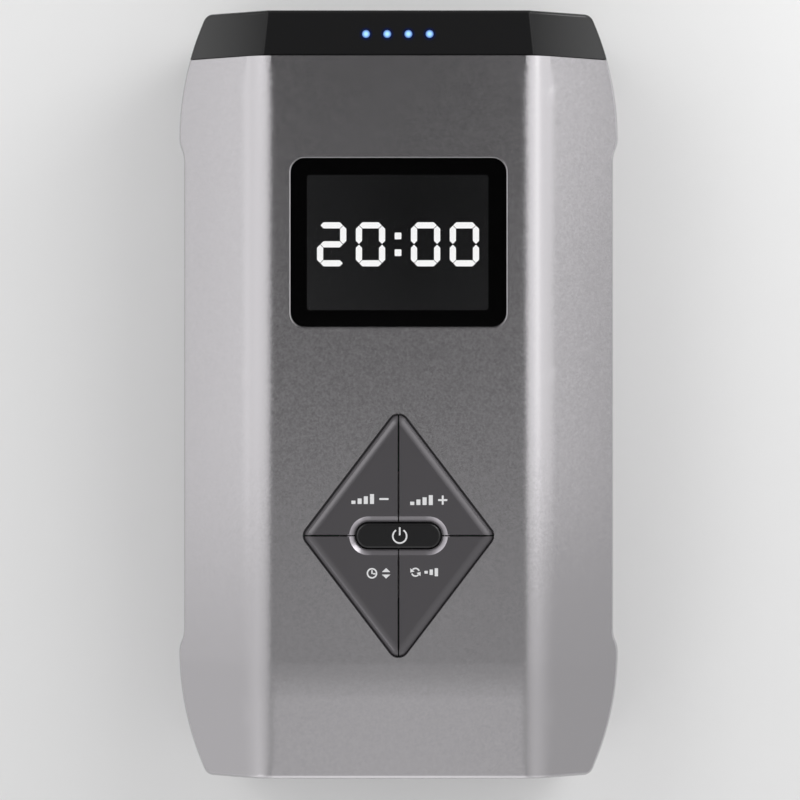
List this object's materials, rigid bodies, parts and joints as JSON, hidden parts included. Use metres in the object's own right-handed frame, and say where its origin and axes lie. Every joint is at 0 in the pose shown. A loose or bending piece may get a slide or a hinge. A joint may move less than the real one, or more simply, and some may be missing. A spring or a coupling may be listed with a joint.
{
  "type": "compression therapy pump",
  "caption": "Portable air pump for compression therapy: faceted silver case, black end cap, square display, diamond keypad with power button, and air sockets in the end.",
  "frame": {"origin": "centre of the case in plan, in the plane of the rubber feet", "axes": "+Z out of the front face, +Y towards the end cap with the air sockets, +X towards the charging socket"},
  "size_m": [0.1262, 0.218, 0.0709],
  "materials": {
    "silver_paint": "metallic silver paint, satin, over moulded plastic",
    "gloss_black": "polished black",
    "lens_black": "clear lens with black printed border",
    "lcd_metal": "pressed frame",
    "lcd_glass": "dark display panel",
    "key_grey": "dark grey satin lacquer",
    "button_black": "black satin",
    "guide_plastic": "natural moulded",
    "switch_black": "moulded",
    "board_green": "solder-masked laminate",
    "screw_steel": "zinc plated",
    "lamp_blue": "clear light pipe, lit blue",
    "rubber_black": "moulded",
    "filter_foam": "open foam",
    "jack_black": "moulded",
    "bezel_chrome": "bright plated",
    "motor_steel": "drawn can",
    "bush_bronze": "sintered bronze",
    "magnet_grey": "ferrite",
    "winding_copper": "laminations and windings",
    "rod_plastic": "acetal",
    "pump_grey": "glass-filled nylon",
    "membrane_rubber": "moulded sheet",
    "manifold_white": "moulded",
    "valve_black": "moulded coil body",
    "plunger_steel": "turned",
    "hose_clear": "clear silicone tube",
    "cell_wrap": "shrink-wrapped cell"
  },
  "bodies": {
    "case": {"front_housing": "silver_paint", "rear_housing": "silver_paint", "end_cap": "gloss_black", "display_lens": "lens_black", "lcd_frame": "lcd_metal", "lcd_panel": "lcd_glass", "key_frame": "guide_plastic", "tact_switches": "switch_black", "control_board": "board_green", "board_screws": "screw_steel", "light_pipes": "lamp_blue", "lamp_board": "board_green", "housing_screws": "screw_steel", "rubber_feet": "rubber_black", "intake_filter": "filter_foam", "charging_jack": "jack_black", "port_bezel": "bezel_chrome", "air_sockets": "jack_black", "outlet_hoses": "hose_clear", "motor_can": "motor_steel", "motor_bushes": "bush_bronze", "motor_magnets": "magnet_grey", "pump_crankcase": "pump_grey", "pump_diaphragm": "membrane_rubber", "valve_plate": "pump_grey", "pump_cover": "pump_grey", "pump_screws": "screw_steel", "pump_grommets": "rubber_black", "manifold": "manifold_white", "valve_bodies": "valve_black", "pressure_sensor": "valve_black", "pump_hose": "hose_clear", "battery_tray": "guide_plastic", "battery_cells": "cell_wrap", "power_board": "board_green"},
    "key_pressure_down": {"key_pressure_down": "key_grey"},
    "key_pressure_up": {"key_pressure_up": "key_grey"},
    "key_time": {"key_time": "key_grey"},
    "key_mode": {"key_mode": "key_grey"},
    "power_button": {"power_button": "button_black"},
    "pump_rotor": {"motor_shaft": "plunger_steel", "armature": "winding_copper", "eccentric": "bush_bronze"},
    "pump_rod": {"connecting_rod": "rod_plastic"},
    "valve_plunger_1": {"valve_plunger_1": "plunger_steel"},
    "valve_plunger_2": {"valve_plunger_2": "plunger_steel"},
    "valve_plunger_3": {"valve_plunger_3": "plunger_steel"},
    "valve_plunger_4": {"valve_plunger_4": "plunger_steel"}
  },
  "joints": [
    {"name": "pressure_down_press", "type": "slide", "parent": "case", "child": "key_pressure_down", "axis": [0, 0, -1], "range_m": [0, 0.0006], "stiffness_N_per_m": 600, "springref_m": -0.001},
    {"name": "pressure_up_press", "type": "slide", "parent": "case", "child": "key_pressure_up", "axis": [0, 0, -1], "range_m": [0, 0.0006], "stiffness_N_per_m": 600, "springref_m": -0.001},
    {"name": "time_press", "type": "slide", "parent": "case", "child": "key_time", "axis": [0, 0, -1], "range_m": [0, 0.0006], "stiffness_N_per_m": 600, "springref_m": -0.001},
    {"name": "mode_press", "type": "slide", "parent": "case", "child": "key_mode", "axis": [0, 0, -1], "range_m": [0, 0.0006], "stiffness_N_per_m": 600, "springref_m": -0.001},
    {"name": "power_button_press", "type": "slide", "parent": "case", "child": "power_button", "axis": [0, 0, -1], "range_m": [0, 0.0006], "stiffness_N_per_m": 600, "springref_m": -0.001},
    {"name": "pump_spin", "type": "hinge", "parent": "case", "child": "pump_rotor", "pos_m": [-0.02, 0.0245, 0.026], "axis": [0, 1, 0], "continuous": true},
    {"name": "rod_turn", "type": "hinge", "parent": "pump_rotor", "child": "pump_rod", "pos_m": [-0.0184, 0.0245, 0.026], "axis": [0, 1, 0], "continuous": true},
    {"name": "valve_1_lift", "type": "slide", "parent": "case", "child": "valve_plunger_1", "axis": [0, 0, 1], "range_m": [0, 0.0005], "stiffness_N_per_m": 200, "springref_m": -0.001},
    {"name": "valve_2_lift", "type": "slide", "parent": "case", "child": "valve_plunger_2", "axis": [0, 0, 1], "range_m": [0, 0.0005], "stiffness_N_per_m": 200, "springref_m": -0.001},
    {"name": "valve_3_lift", "type": "slide", "parent": "case", "child": "valve_plunger_3", "axis": [0, 0, 1], "range_m": [0, 0.0005], "stiffness_N_per_m": 200, "springref_m": -0.001},
    {"name": "valve_4_lift", "type": "slide", "parent": "case", "child": "valve_plunger_4", "axis": [0, 0, 1], "range_m": [0, 0.0005], "stiffness_N_per_m": 200, "springref_m": -0.001}
  ],
  "couplings": [
    {"joint": "rod_turn", "follows": "pump_spin", "ratio": -1}
  ]
}
